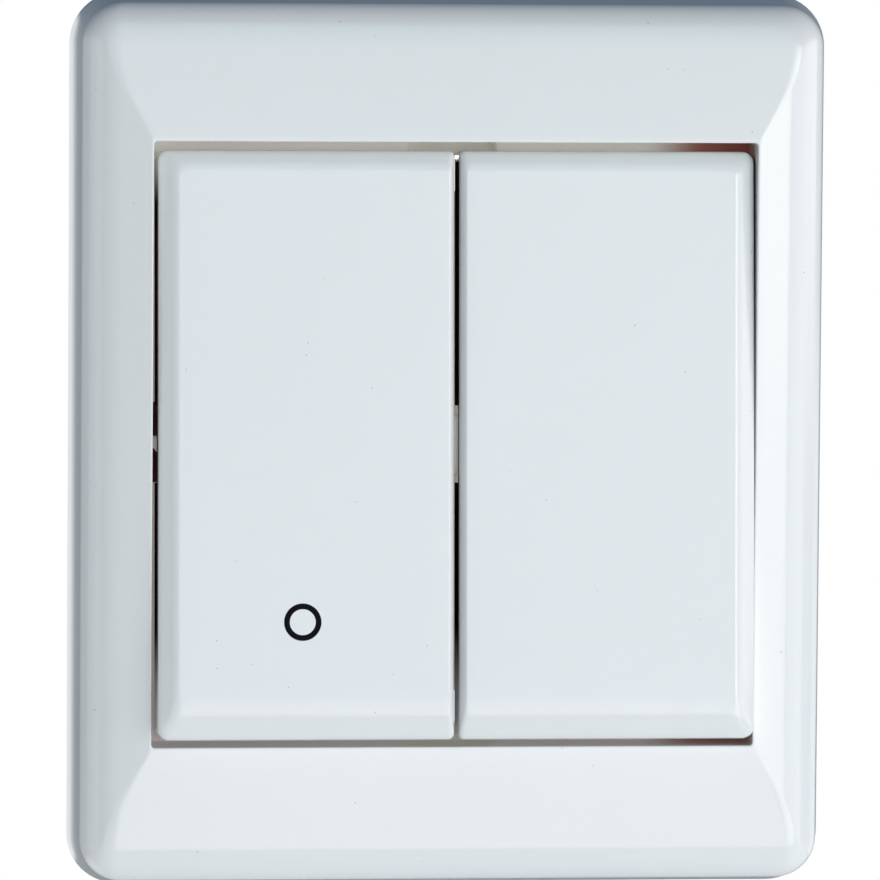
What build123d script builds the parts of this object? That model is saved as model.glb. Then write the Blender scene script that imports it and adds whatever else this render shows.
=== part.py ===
from build123d import *
import os
from math import cos, radians, sin, sqrt

os.makedirs("parts", exist_ok=True)

# Double rocker switch for a flush wall box, in millimetres.
# The wall is the plane y = 0, the front faces -Y, +Z is up, the origin is the middle of the insert.
# A height is measured forwards from the wall, so a negative height lies inside the wall box.

# Rockers
rocker_w = 33.1
rocker_gap = 0.5
rocker_side_play = 0.35
rocker_end_play = 1.35
rocker_wall = 1.6
rocker_roof = 2.0
rocker_proud = 1.0
rocker_outer_corner_r = 1.3
rocker_inner_corner_r = 0.6
rocker_hollow_r = 0.3
bevel_depth = 1.1
bevel_outer = 2.5
bevel_inner = 0.8
bevel_top = 2.0
bevel_bottom = 4.0
rocker_rib_t = 1.0
rocker_rib_h = 1.2

# Rocker pivots and travel
pivot_rise = 3.0
face_rise = 5.5
rocker_lip = -0.6
rocker_swing = 3.5
pin_r = 1.2
running_clearance = 0.05
side_clearance = 0.3
lug_t = 2.0
lug_w = 6.0
lug_drop = 2.0
bearing_w = 7.0
bearing_rise = 2.0
bearing_shoulder_r = 0.8
notch_play = 0.8
notch_headroom = 1.0
ear_t = 1.45
ear_key_w = 1.4
ear_key_clearance = 0.2

# Cover frame
side_strip = 8.8
end_strip = 16.3
frame_corner_r = 5.7
frame_draft = 1.2
crest_rise = 3.1
side_slope = 0.158
side_round_w = 5.9
side_round_h = 2.68
end_slope = 0.0895
end_round_w = 5.03
end_round_h = 2.16
round_steps = 9
frame_wall = 2.0
opening_corner_r = 0.4
crest_edge_r = 0.25
skirt_wall = 1.4
frame_rib_t = 1.0
frame_rib_pitch = 28.8
frame_rib_play = 0.4
hook_w = 10.0
hook_t = 1.2
hook_play = 0.4
hook_catch = 0.9
hook_foot = 0.2
hook_x = 18.0

# The clipped frame sits a little off the insert's centre, within its play
frame_shift_x = -0.2
frame_shift_z = 0.15

# Plates
plate_t = 1.2
plate_inset = 1.0
carrier_t = 1.8
carrier_margin = 0.9
plate_corner_r = 2.0
window_w = 8.4
window_h = 11.0
window_margin = 0.8
vent_w = 12.0
vent_h = 18.0
vent_x = 24.0
vent_z = 18.0
box_screw_spacing = 60.0
box_screw_hole_r = 2.1
screw_access_w = 10.0
screw_access_h = 11.0
screw_access_shift = 0.7

# Housing
housing_side = 46.0
housing_chamfer = 7.0
housing_rim_r = 0.8
housing_wall = 1.5
chamber_wall = 2.0
lid_t = 1.5
base_floor_t = 4.75
chamber_w = 8.4
pocket_length = 7.0
pocket_w = 9.0
strip_play = 0.2
wire_hole_r = 1.4
wire_spread = 2.4
access_hole_r = 3.0

# Assembly screws
assembly_xz = 17.5
assembly_shank_r = 1.4
assembly_head_r = 2.6
assembly_head_t = 1.6
assembly_depth = 10.0
assembly_boss_margin = 1.0
through_play = 0.2
drive_slot_w = 0.8
drive_slot_t = 0.8
drive_slot_length = 3.6

# Tumblers, with the legs that turn them
gang_x = 8.0
leg_w = 4.0
leg_neck = 2.2
leg_tip_r = 1.5
tumbler_depth = 3.0
tumbler_ratio = 2.0
tumbler_w = 7.0
hub_r = 2.6
trunnion_r = 1.4
trunnion_span = 12.0
fork_w = 5.2
fork_prong_t = 1.4
fork_beyond_tip = 1.3
fork_floor_play = 0.3
barrel_r = 2.9
barrel_reach = 6.0
bore_r = 1.7
bore_floor = 1.3

# Plungers and springs
plunger_r = 1.6
plunger_top = 4.4
plunger_nose_gap = 0.1
spring_r = 1.2
spring_wire_r = 0.2
spring_turns = 4

# Contacts and terminals
arm_depth = 11.7
arm_swing = 8.0
arm_half = 10.4
arm_corner_r = 1.0
strip_w = 5.0
strip_t = 0.8
strip_tail = 0.7
button_r = 1.5
button_t = 0.8
button_reach = 9.0
contact_gap = 0.2
cradle_play = 0.05
cradle_half = 1.5
cradle_slope_h = 1.15
upright_gap = 1.0
upright_h = 9.75
clamp_gap = 1.9
clamp_t = 1.2
clamp_w = 7.6
clamp_low = 2.0
clamp_h = 7.5
terminal_screw_r = 1.5
terminal_head_r = 2.7
terminal_head_t = 1.6
terminal_screw_depth = 10.0

# Sizes that follow from those above
opening_side = 2 * rocker_w + rocker_gap + 2 * rocker_side_play
rocker_h = opening_side - 2 * rocker_end_play
frame_w = opening_side + 2 * side_strip
frame_h = opening_side + 2 * end_strip
skirt_outside = opening_side / 2 + skirt_wall
carrier_side = 2 * skirt_outside + 2 * carrier_margin
plate_side = carrier_side - 2 * plate_inset
carrier_front = plate_t + carrier_t
pivot_height = carrier_front + pivot_rise
frame_crest = pivot_height + face_rise - rocker_proud
frame_shoulder = frame_crest - crest_rise
fork_arm = (pivot_height + tumbler_depth) / (1 + tumbler_ratio)
leg_reach = fork_arm * tumbler_ratio
plunger_reach = arm_depth - strip_t - tumbler_depth - plunger_nose_gap
arm_turn = radians(arm_swing)
arm_dip = button_t * cos(arm_turn) + (button_reach + button_r) * sin(arm_turn)
floor_depth = arm_depth + arm_dip + contact_gap + button_t + strip_t
base_depth = floor_depth + base_floor_t
pocket_start = housing_side / 2 - housing_wall - pocket_length
chamber_h = 2 * (pocket_start - chamber_wall)

sides = {"left": -1, "right": 1}


def level(height, x=0.0, z=0.0):
    """A plane parallel to the wall, looking out of it, with its x to the right and its y up."""
    return Plane(origin=(x, -height, z), x_dir=(1, 0, 0), z_dir=(0, -1, 0))


def frame_level(height):
    """The same, centred on the cover frame."""
    return level(height, frame_shift_x, frame_shift_z)


def tilted(x, height, angle):
    """A plane that looks out of the wall, turned about the level axis through its origin."""
    turn = radians(angle)
    return Plane(origin=(x, -height, 0), x_dir=(1, 0, 0), z_dir=(0, -cos(turn), -sin(turn)))


def across(x, height, z=0.0):
    """A plane that looks to the right, for pins and holes along X."""
    return Plane(origin=(x, -height, z), x_dir=(0, 0, 1), z_dir=(1, 0, 0))


def outwards(side, direction):
    """A plane on the housing's floor: x runs out towards a terminal and z to the front."""
    return Plane(origin=(side * gang_x, floor_depth, 0), x_dir=direction, z_dir=(0, -1, 0))


def on(plane, u, v, w):
    """The plane through local point u, v, w."""
    return Plane(origin=plane.from_local_coords((u, v, w)), x_dir=plane.x_dir, z_dir=plane.z_dir)


def along(plane, u, v, w):
    """The plane through local point u, v, w that looks along the local x."""
    return Plane(origin=plane.from_local_coords((u, v, w)), x_dir=plane.y_dir, z_dir=plane.x_dir)


def slab(plane, u0, u1, v0, v1, w0, w1, mode=Mode.ADD):
    """A block between two values on each local axis."""
    with BuildSketch(on(plane, (u0 + u1) / 2, (v0 + v1) / 2, w0)) as base:
        Rectangle(u1 - u0, v1 - v0)
    extrude(base.sketch, amount=w1 - w0, mode=mode)


def rod(plane, radius, length, mode=Mode.ADD):
    """A round bar that starts on the plane and follows its z."""
    with BuildSketch(plane) as base:
        Circle(radius)
    extrude(base.sketch, amount=length, mode=mode)


# Cover frame: one moulding, hollow behind, with a skirt round the opening that seats on the carrier


def reach(rise, half, slope, round_w, round_h):
    """How far a strip's front reaches at a height above the shoulder: on its flat slope or, further
    out, on its quarter ellipse, whichever is nearer the opening."""
    flat = opening_side / 2 + (crest_rise - rise) / slope
    share = min(rise / round_h, 1.0)
    return min(flat, half - frame_draft - round_w * (1 - sqrt(1 - share * share)))


def hipped_block(inset):
    """The frame's outer form: drafted walls, then rounded edges that run into four flat slopes up to
    the opening. With an inset it is the hollow beneath them."""
    shoulder_r = frame_corner_r - frame_draft
    with BuildPart() as block:
        with BuildSketch(frame_level(0)):
            RectangleRounded(frame_w - 2 * inset, frame_h - 2 * inset, frame_corner_r - inset)
        for step in range(round_steps + 1):
            rise = crest_rise * sin(radians(90 * step / round_steps))
            side_reach = reach(rise, frame_w / 2, side_slope, side_round_w, side_round_h)
            end_reach = reach(rise, frame_h / 2, end_slope, end_round_w, end_round_h)
            share = (side_reach - opening_side / 2) / (frame_w / 2 - frame_draft - opening_side / 2)
            corner_r = opening_corner_r + (shoulder_r - inset - opening_corner_r) * share**3
            with BuildSketch(frame_level(frame_shoulder - inset + rise)):
                RectangleRounded(
                    2 * (side_reach - inset * share), 2 * (end_reach - inset * share), corner_r
                )
        loft(ruled=True)
    return block.part


hook_inside = carrier_side / 2 + hook_play
rib_foot = carrier_front + frame_rib_play
hook_top = plate_t - hook_foot / 2
frame_plane = frame_level(0)

with BuildPart() as frame_hollow:
    add(hipped_block(frame_wall))
    with BuildSketch(frame_level(carrier_front)):
        Rectangle(2 * skirt_outside, 2 * skirt_outside)
    extrude(amount=frame_crest, mode=Mode.SUBTRACT)
    for turn in (-1, 1):
        for x in (-hook_x, hook_x):
            low, high = sorted((turn * hook_inside, turn * (hook_inside + hook_t)))
            slab(
                frame_plane, x - hook_w / 2, x + hook_w / 2, low, high,
                hook_foot, frame_crest, Mode.SUBTRACT,
            )
        for place in (-frame_rib_pitch, 0, frame_rib_pitch):
            low, high = sorted((turn * skirt_outside, turn * frame_h / 2))
            slab(
                frame_plane, place - frame_rib_t / 2, place + frame_rib_t / 2, low, high,
                rib_foot, frame_crest, Mode.SUBTRACT,
            )
            low, high = sorted((turn * skirt_outside, turn * frame_w / 2))
            slab(
                frame_plane, low, high, place - frame_rib_t / 2, place + frame_rib_t / 2,
                rib_foot, frame_crest, Mode.SUBTRACT,
            )

with BuildPart() as cover_frame:
    add(hipped_block(0))
    add(frame_hollow.part, mode=Mode.SUBTRACT)
    with BuildSketch(frame_level(0)):
        RectangleRounded(opening_side, opening_side, opening_corner_r)
    extrude(amount=frame_crest, mode=Mode.SUBTRACT)
    for turn in (-1, 1):
        for x in (-hook_x, hook_x):
            low, high = sorted((turn * (hook_inside - hook_catch), turn * (hook_inside + hook_t)))
            slab(frame_plane, x - hook_w / 2, x + hook_w / 2, low, high, hook_foot, hook_top)
    crest = cover_frame.edges().filter_by_position(Axis.Y, -frame_crest - 0.01, -frame_crest + 0.01)
    fillet(crest, crest_edge_r)
cover_frame.part.label = "cover_frame"
export_step(cover_frame.part, "parts/cover_frame.step")


# Rockers: two mirrored shells, each with lugs, two pins, ribs and a leg that reaches the tumbler


def rocker_outline(side, outer, inner, top, bottom, outer_r, inner_r):
    """A rocker's outline set in from its full size by an amount on each edge."""
    near = rocker_gap / 2 + inner
    far = rocker_gap / 2 + rocker_w - outer
    high = rocker_h / 2 - top
    low = bottom - rocker_h / 2
    with Locations((side * (near + far) / 2, (high + low) / 2)):
        Rectangle(far - near, high - low)
    columns = vertices().group_by(Axis.X)
    outside = columns[-1] if side > 0 else columns[0]
    inside = columns[0] if side > 0 else columns[-1]
    fillet(outside, outer_r)
    fillet(vertices().filter_by(lambda v: any(v == corner for corner in inside)), inner_r)


inner_wall_back = rocker_gap / 2 + rocker_wall
outer_wall_back = rocker_gap / 2 + rocker_w - rocker_wall
post_half = inner_wall_back + side_clearance
lug_near = post_half + side_clearance
ear_near = outer_wall_back - side_clearance
ear_far = ear_near + ear_t
ear_key_far = opening_side / 2 - abs(frame_shift_x) - ear_key_clearance
notch_half = bearing_w / 2 + notch_play
roof_under = face_rise - rocker_roof
notch_roof = bearing_rise + notch_headroom


def make_rocker(side):
    """One rocker, side -1 left or +1 right, tilted as it rests: top pressed in, bottom proud."""
    home = tilted(0, pivot_height, -rocker_swing)

    def span(near, far):
        return sorted((side * near, side * far))

    with BuildPart() as rocker:
        with BuildSketch(home.offset(rocker_lip)):
            rocker_outline(side, 0, 0, 0, 0, rocker_outer_corner_r, rocker_inner_corner_r)
        extrude(amount=face_rise - bevel_depth - rocker_lip)
        with BuildSketch(home.offset(face_rise - bevel_depth)):
            rocker_outline(side, 0, 0, 0, 0, rocker_outer_corner_r, rocker_inner_corner_r)
        with BuildSketch(home.offset(face_rise)):
            rocker_outline(
                side, bevel_outer, bevel_inner, bevel_top, bevel_bottom,
                rocker_outer_corner_r, rocker_inner_corner_r,
            )
        loft(ruled=True)
        with BuildSketch(home.offset(rocker_lip)):
            wall = rocker_wall
            rocker_outline(side, wall, wall, wall, wall, rocker_hollow_r, rocker_hollow_r)
        extrude(amount=roof_under - rocker_lip, mode=Mode.SUBTRACT)
        # Notches that clear the bearing post and ear
        for near, far in ((0, inner_wall_back), (outer_wall_back, rocker_gap / 2 + rocker_w)):
            u0, u1 = span(near, far)
            slab(home, u0, u1, -notch_half, notch_half, rocker_lip, notch_roof, Mode.SUBTRACT)
        # Stiffening ribs under the roof, and a cross rib that joins leg and lugs
        for share in (1, 2):
            rib_x = side * (rocker_gap / 2 + rocker_w * share / 3)
            slab(
                home, rib_x - rocker_rib_t / 2, rib_x + rocker_rib_t / 2,
                rocker_wall - rocker_h / 2, rocker_h / 2 - rocker_wall,
                roof_under - rocker_rib_h, roof_under,
            )
        u0, u1 = span(lug_near, ear_near - side_clearance)
        slab(home, u0, u1, -rocker_rib_t / 2, rocker_rib_t / 2, rocker_rib_h, roof_under)
        # Lugs and their pins
        for near, far, reach in (
            (lug_near, lug_near + lug_t, rocker_gap / 2),
            (ear_near - side_clearance - lug_t, ear_near - side_clearance, ear_far),
        ):
            u0, u1 = span(near, far)
            slab(home, u0, u1, -lug_w / 2, lug_w / 2, -lug_drop, roof_under)
            p0, p1 = span(reach, (near + far) / 2)
            rod(along(home, p0, 0, 0), pin_r, p1 - p0)
        # Leg with its round tip
        u0, u1 = span(gang_x - leg_w / 2, gang_x + leg_w / 2)
        slab(home, u0, u1, -leg_neck / 2, leg_neck / 2, -leg_reach, roof_under)
        rod(along(home, u0, 0, -leg_reach), leg_tip_r, leg_w)
    return rocker.part


for name, side in sides.items():
    rocker = make_rocker(side)
    rocker.label = "rocker_" + name
    export_step(rocker, "parts/rocker_" + name + ".step")


# Rocker carrier: a moulded plate with one bearing post between the rockers and an ear outside each

carrier_plane = level(plate_t)
screw_access_z = box_screw_spacing / 2 - screw_access_shift


def bearing_block(near, far):
    """A block with rounded shoulders that a pin runs in."""
    with BuildPart() as block:
        slab(level(carrier_front), near, far, -bearing_w / 2, bearing_w / 2, 0,
             pivot_height + bearing_rise - carrier_front)
        shoulders = block.faces().sort_by(Axis.Y)[0].edges().filter_by(Axis.X)
        fillet(shoulders, bearing_shoulder_r)
        rod(across(near, pivot_height), pin_r + running_clearance, far - near, Mode.SUBTRACT)
    return block.part


with BuildPart() as rocker_carrier:
    with BuildSketch(carrier_plane):
        RectangleRounded(carrier_side, carrier_side, plate_corner_r)
    extrude(amount=carrier_t)
    with BuildSketch(carrier_plane):
        with Locations((-gang_x, 0), (gang_x, 0)):
            Rectangle(window_w, window_h)
        with Locations((0, screw_access_z), (0, -screw_access_z)):
            RectangleRounded(screw_access_w, screw_access_h, plate_corner_r)
        with GridLocations(2 * vent_x, 2 * vent_z, 2, 2):
            RectangleRounded(vent_w, vent_h, plate_corner_r)
    extrude(amount=carrier_t, mode=Mode.SUBTRACT)
    with BuildSketch(carrier_plane):
        with GridLocations(2 * assembly_xz, 2 * assembly_xz, 2, 2):
            Circle(assembly_head_r + assembly_boss_margin)
    extrude(amount=carrier_t)
    with BuildSketch(carrier_plane):
        with GridLocations(2 * assembly_xz, 2 * assembly_xz, 2, 2):
            Circle(assembly_shank_r + through_play)
    extrude(amount=carrier_t, mode=Mode.SUBTRACT)
    add(bearing_block(-post_half, post_half))
    for side in sides.values():
        low, high = sorted((side * ear_near, side * ear_far))
        add(bearing_block(low, high))
        # A thin key on the ear fills the gap beside the rocker
        low, high = sorted((side * ear_far, side * ear_key_far))
        slab(level(0), low, high, -ear_key_w / 2, ear_key_w / 2, carrier_front,
             pivot_height + bearing_rise)
rocker_carrier.part.label = "rocker_carrier"
export_step(rocker_carrier.part, "parts/rocker_carrier.step")


# Mounting plate: stamped steel, with two holes for the wall box screws

with BuildPart() as mounting_plate:
    with BuildSketch(level(0)):
        RectangleRounded(plate_side, plate_side, plate_corner_r)
        Rectangle(
            2 * gang_x + window_w + 2 * window_margin, window_h + 2 * window_margin,
            mode=Mode.SUBTRACT,
        )
        with Locations((0, box_screw_spacing / 2), (0, -box_screw_spacing / 2)):
            Circle(box_screw_hole_r, mode=Mode.SUBTRACT)
        with GridLocations(2 * assembly_xz, 2 * assembly_xz, 2, 2):
            Circle(assembly_shank_r + through_play, mode=Mode.SUBTRACT)
    extrude(amount=plate_t)
mounting_plate.part.label = "mounting_plate"
export_step(mounting_plate.part, "parts/mounting_plate.step")


# Housing: a lid behind the plate and a deep base with chambers for the mechanism and the terminals


def housing_block(height, depth):
    """The housing's chamfered square between a height and a depth further back."""
    with BuildSketch(level(height)) as outline:
        square = Rectangle(housing_side, housing_side)
        chamfer(square.vertices(), housing_chamfer)
    extrude(outline.sketch, amount=-depth)


with BuildPart() as base_lid:
    housing_block(0, lid_t)
    with BuildSketch(level(0)):
        with Locations((-gang_x, 0), (gang_x, 0)):
            Rectangle(window_w, window_h)
        with GridLocations(2 * assembly_xz, 2 * assembly_xz, 2, 2):
            Circle(assembly_shank_r + through_play)
    extrude(amount=-lid_t, mode=Mode.SUBTRACT)
base_lid.part.label = "base_lid"
export_step(base_lid.part, "parts/base_lid.step")

front_rise = floor_depth - lid_t
screw_rise = floor_depth - terminal_screw_depth
slot_half = strip_w / 2 + strip_play / 2


def terminal_sites(side):
    """Each terminal of a gang: its name, its plane, and how far out its pocket starts."""
    return [
        ("upper", outwards(side, (0, 0, 1)), pocket_start),
        ("lower", outwards(side, (0, 0, -1)), pocket_start),
        ("common", outwards(side, (side, 0, 0)), pocket_start - gang_x),
    ]


with BuildPart() as switch_base:
    housing_block(-lid_t, base_depth - lid_t)
    for side in sides.values():
        floor = outwards(side, (0, 0, 1))
        slab(floor, -chamber_h / 2, chamber_h / 2, -chamber_w / 2, chamber_w / 2, 0, front_rise,
             Mode.SUBTRACT)
        # Bearings for the tumbler's trunnions, open to the front
        seat = side * gang_x - trunnion_span / 2 - side_clearance
        seat_length = trunnion_span + 2 * side_clearance
        seat_r = trunnion_r + running_clearance
        rod(across(seat, -tumbler_depth), seat_r, seat_length, Mode.SUBTRACT)
        slab(level(-tumbler_depth), seat, seat + seat_length, -seat_r, seat_r, 0,
             tumbler_depth - lid_t, Mode.SUBTRACT)
        for name, plane, start in terminal_sites(side):
            slab(plane, start, start + pocket_length, -pocket_w / 2, pocket_w / 2, 0, front_rise,
                 Mode.SUBTRACT)
            slab(plane, 0, start, -slot_half, slot_half, 0, front_rise, Mode.SUBTRACT)
            rod(along(plane, start + pocket_length / 2, 0, screw_rise), access_hole_r,
                pocket_length, Mode.SUBTRACT)
            wires = start + upright_gap + strip_t + clamp_gap / 2
            for v in (-wire_spread, wire_spread):
                rod(on(plane, wires, v, 0), wire_hole_r, floor_depth - base_depth, Mode.SUBTRACT)
    with BuildSketch(level(-lid_t)):
        with GridLocations(2 * assembly_xz, 2 * assembly_xz, 2, 2):
            Circle(assembly_shank_r + running_clearance)
    extrude(amount=-assembly_depth, mode=Mode.SUBTRACT)
    rim = switch_base.faces().sort_by(Axis.Y)[-1].outer_wire().edges()
    fillet(rim, housing_rim_r)
switch_base.part.label = "switch_base"
export_step(switch_base.part, "parts/switch_base.step")


# Assembly screws: carrier, plate and lid held to the base

with BuildPart() as assembly_screws:
    with BuildSketch(level(carrier_front)):
        with GridLocations(2 * assembly_xz, 2 * assembly_xz, 2, 2):
            Circle(assembly_head_r)
    extrude(amount=assembly_head_t)
    with BuildSketch(level(carrier_front)):
        with GridLocations(2 * assembly_xz, 2 * assembly_xz, 2, 2):
            Circle(assembly_shank_r)
    extrude(amount=-(carrier_front + assembly_depth))
    with BuildSketch(level(carrier_front + assembly_head_t)):
        with GridLocations(2 * assembly_xz, 2 * assembly_xz, 2, 2):
            Rectangle(drive_slot_length, drive_slot_w)
            Rectangle(drive_slot_w, drive_slot_length)
    extrude(amount=-drive_slot_t, mode=Mode.SUBTRACT)
assembly_screws.part.label = "assembly_screws"
export_step(assembly_screws.part, "parts/assembly_screws.step")


# Tumblers, plungers and springs: each tumbler is turned by a rocker's leg and carries the spring


def make_tumbler(side):
    """A forked lever with trunnions and a barrel for the spring."""
    home = tilted(side * gang_x, -tumbler_depth, tumbler_ratio * rocker_swing)
    prong_in = leg_tip_r + running_clearance
    prong_out = prong_in + fork_prong_t
    with BuildPart() as tumbler:
        rod(along(home, -tumbler_w / 2, 0, 0), hub_r, tumbler_w)
        rod(along(home, -trunnion_span / 2, 0, 0), trunnion_r, trunnion_span)
        slab(home, -fork_w / 2, fork_w / 2, -prong_out, prong_out, 0, fork_arm + fork_beyond_tip)
        slab(home, -tumbler_w, tumbler_w, -prong_in, prong_in,
             fork_arm - leg_tip_r - fork_floor_play, 2 * fork_arm, Mode.SUBTRACT)
        rod(home, barrel_r, -barrel_reach)
        rod(on(home, 0, 0, -bore_floor), bore_r, -barrel_reach, Mode.SUBTRACT)
    return tumbler.part


def make_plunger(side):
    """A pin with a round nose."""
    home = tilted(side * gang_x, -tumbler_depth, tumbler_ratio * rocker_swing)
    with BuildPart() as plunger:
        rod(on(home, 0, 0, -plunger_top), plunger_r, plunger_top + plunger_r - plunger_reach)
        with Locations(on(home, 0, 0, plunger_r - plunger_reach)):
            Sphere(plunger_r)
    return plunger.part


def make_spring(side):
    """A compression spring between the bore's floor and the plunger."""
    home = tilted(side * gang_x, -tumbler_depth, tumbler_ratio * rocker_swing)
    space = plunger_top - bore_floor - 2 * running_clearance
    rise = space - 2 * spring_wire_r
    foot = on(home, 0, 0, running_clearance + spring_wire_r - plunger_top)
    with BuildPart() as spring:
        with BuildLine() as coil:
            Helix(rise / spring_turns, rise, spring_r, center=foot.origin, direction=foot.z_dir)
        with BuildSketch(Plane(origin=coil.line @ 0, z_dir=coil.line % 0)):
            Circle(spring_wire_r)
        sweep(path=coil.line, is_frenet=True)
    return spring.part


for name, side in sides.items():
    for kind, make in (("tumbler", make_tumbler), ("plunger", make_plunger), ("spring", make_spring)):
        piece = make(side)
        piece.label = kind + "_" + name
        export_step(piece, "parts/" + kind + "_" + name + ".step")


# Contact arms: each tips over a knife edge and carries a silver button under either end


def make_arm(side):
    """The moving strip, tipped as it rests with its upper end in."""
    home = tilted(side * gang_x, -arm_depth, -arm_swing)
    with BuildPart() as arm:
        slab(home, -strip_w / 2, strip_w / 2, -arm_half, arm_half, 0, strip_t)
        upright = [e for e in arm.edges() if abs(e.tangent_at(0.5).dot(home.z_dir)) > 0.9]
        fillet(upright, arm_corner_r)
    return arm.part


def make_buttons(side):
    """The two buttons under the arm."""
    home = tilted(side * gang_x, -arm_depth, -arm_swing)
    with BuildPart() as buttons:
        for reach in (-button_reach, button_reach):
            rod(on(home, 0, reach, 0), button_r, -button_t)
    return buttons.part


for name, side in sides.items():
    for kind, make in (("contact_arm", make_arm), ("moving_buttons", make_buttons)):
        piece = make(side)
        piece.label = kind + "_" + name
        export_step(piece, "parts/" + kind + "_" + name + ".step")


# Terminals: copper strips on the housing's floor that turn up into a screw clamp at their far end


def add_upright(plane, start):
    """The end of a strip, turned up towards the front, with a hole for the clamp's screw."""
    bend = start + upright_gap
    slab(plane, bend, bend + strip_t, -strip_w / 2, strip_w / 2, 0, upright_h)
    rod(along(plane, bend, 0, screw_rise), terminal_screw_r + running_clearance, strip_t,
        Mode.SUBTRACT)


button_line = button_reach * cos(arm_turn) - button_t * sin(arm_turn)


def make_terminal(kind, plane, start):
    """One fixed strip: the common one has a knife edge, the others lie under a button."""
    with BuildPart() as strip:
        if kind == "common":
            apex = floor_depth - arm_depth - cradle_play
            shoulder = apex - cradle_slope_h
            with BuildSketch(along(plane, -strip_w / 2, 0, 0)):
                with BuildLine():
                    Polyline(
                        (-cradle_half, 0), (cradle_half, 0), (cradle_half, shoulder),
                        (0, apex), (-cradle_half, shoulder), close=True,
                    )
                make_face()
            extrude(amount=strip_w)
            slab(plane, 0, start + upright_gap + strip_t, -strip_w / 2, strip_w / 2, 0, strip_t)
        else:
            slab(plane, button_line - button_r - strip_tail, start + upright_gap + strip_t,
                 -strip_w / 2, strip_w / 2, 0, strip_t)
        add_upright(plane, start)
    return strip.part


for name, side in sides.items():
    for kind, plane, start in terminal_sites(side):
        strip = make_terminal(kind, plane, start)
        strip.label = kind + "_terminal_" + name
        export_step(strip, "parts/" + kind + "_terminal_" + name + ".step")

with BuildPart() as fixed_buttons:
    for side in sides.values():
        for kind, plane, start in terminal_sites(side)[:2]:
            rod(on(plane, button_line, 0, strip_t), button_r, button_t)
fixed_buttons.part.label = "fixed_buttons"
export_step(fixed_buttons.part, "parts/fixed_buttons.step")

clamp_start = upright_gap + strip_t + clamp_gap
with BuildPart() as clamp_plates:
    for side in sides.values():
        for kind, plane, start in terminal_sites(side):
            near = start + clamp_start
            slab(plane, near, near + clamp_t, -clamp_w / 2, clamp_w / 2, clamp_low,
                 clamp_low + clamp_h)
            rod(along(plane, near, 0, screw_rise), terminal_screw_r + through_play, clamp_t,
                Mode.SUBTRACT)
clamp_plates.part.label = "clamp_plates"
export_step(clamp_plates.part, "parts/clamp_plates.step")

with BuildPart() as terminal_screws:
    for side in sides.values():
        for kind, plane, start in terminal_sites(side):
            tip = start + upright_gap / 2
            seat = start + clamp_start + clamp_t
            rod(along(plane, tip, 0, screw_rise), terminal_screw_r, seat - tip)
            rod(along(plane, seat, 0, screw_rise), terminal_head_r, terminal_head_t)
            slab(
                plane, seat + terminal_head_t - drive_slot_t, seat + terminal_head_t,
                -terminal_head_r, terminal_head_r,
                screw_rise - drive_slot_w / 2, screw_rise + drive_slot_w / 2, Mode.SUBTRACT,
            )
terminal_screws.part.label = "terminal_screws"
export_step(terminal_screws.part, "parts/terminal_screws.step")
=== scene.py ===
import bmesh
import bpy
import numpy as np
from math import cos, pi, radians, sin, tan
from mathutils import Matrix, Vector


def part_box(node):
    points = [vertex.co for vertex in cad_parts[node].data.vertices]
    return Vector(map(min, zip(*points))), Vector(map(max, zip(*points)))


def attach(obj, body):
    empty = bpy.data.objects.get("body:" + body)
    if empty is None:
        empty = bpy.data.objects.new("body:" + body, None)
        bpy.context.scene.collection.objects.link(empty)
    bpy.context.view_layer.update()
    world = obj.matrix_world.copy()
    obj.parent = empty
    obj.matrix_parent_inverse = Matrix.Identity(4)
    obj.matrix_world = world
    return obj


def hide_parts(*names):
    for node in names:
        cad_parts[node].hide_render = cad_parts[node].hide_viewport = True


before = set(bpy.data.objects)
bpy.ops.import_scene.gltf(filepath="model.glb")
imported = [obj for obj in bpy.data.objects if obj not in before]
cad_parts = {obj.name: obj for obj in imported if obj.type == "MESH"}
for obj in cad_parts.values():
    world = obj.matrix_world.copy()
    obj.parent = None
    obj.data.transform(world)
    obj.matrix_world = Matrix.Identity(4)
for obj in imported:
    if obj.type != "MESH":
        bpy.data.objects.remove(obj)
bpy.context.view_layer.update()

# Mounting plate
# The steel sheet that carries the insert: stamped, with two holes for the wall box screws, and hot-dip
# galvanised, which leaves pale crystals in the zinc. Its front is lacquered cream like the carrier,
# with a faint painted glow.


class Socket:
    """A socket of a material's nodes, on which arithmetic adds Math nodes."""

    def __init__(self, tree, socket=None):
        self.tree = tree
        self.socket = socket

    def node(self, kind, settings=(), inputs=(), output=0):
        """Adds a node: its settings are set first, then its inputs are given values or links."""
        made = self.tree.nodes.new("ShaderNode" + kind)
        for name, value in dict(settings).items():
            if name == "stops":
                ramp = made.color_ramp.elements
                while len(ramp) < len(value):
                    ramp.new(0.5)
                for element, (place, colour) in zip(ramp, value):
                    element.position = place
                    element.color = (*colour, 1.0)
            else:
                setattr(made, name, value)
        for name, value in dict(inputs).items():
            if isinstance(value, Socket):
                self.tree.links.new(value.socket, made.inputs[name])
            else:
                made.inputs[name].default_value = value
        return Socket(self.tree, made.outputs[output] if made.outputs else None)

    def math(self, operation, *values, clamp=False):
        settings = {"operation": operation, "use_clamp": clamp}
        return self.node("Math", settings, enumerate(values))

    def __add__(self, other):
        return self.math("ADD", self, other)

    def __mul__(self, other):
        return self.math("MULTIPLY", self, other)

    def __sub__(self, other):
        return self.math("SUBTRACT", self, other)

    def __rsub__(self, other):
        return self.math("SUBTRACT", other, self)

    def __lt__(self, other):
        return self.math("LESS_THAN", self, other)

    def __gt__(self, other):
        return self.math("GREATER_THAN", self, other)

    __radd__ = __add__


def mixed(share, first, second, blend="MIX"):
    """A colour laid over another by a share."""
    settings = {"data_type": "RGBA", "blend_type": blend}
    return share.node("Mix", settings, {0: share, 6: first, 7: second}, 2)


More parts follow.
